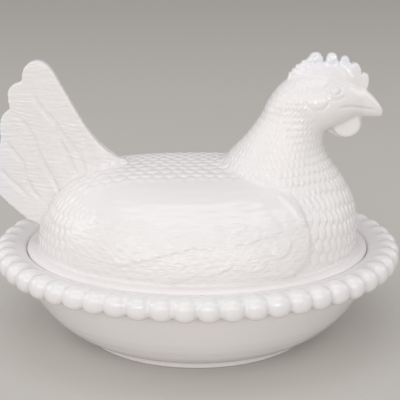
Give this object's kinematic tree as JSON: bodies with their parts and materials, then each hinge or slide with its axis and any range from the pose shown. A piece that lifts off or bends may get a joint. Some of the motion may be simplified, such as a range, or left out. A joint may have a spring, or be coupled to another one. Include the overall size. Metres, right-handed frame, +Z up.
{
  "type": "hen on nest covered dish",
  "caption": "Oval dish with a beaded rim and a lift-off lid in the form of a sitting hen, both hollow, in opaque white pressed glass.",
  "frame": {"origin": "on the table under the middle of the dish", "axes": "+X along the dish's length, the way the hen faces; +Y across the dish; +Z up"},
  "size_m": [0.1776, 0.1492, 0.1251],
  "materials": {
    "milk_glass": "gloss"
  },
  "bodies": {
    "dish": {"nest_dish": "milk_glass"},
    "lid": {"hen_lid": "milk_glass"}
  },
  "joints": [
    {"name": "lid_lift", "type": "slide", "parent": "dish", "child": "lid", "axis": [0, 0, 1], "range_m": [0, 0.1]}
  ]
}
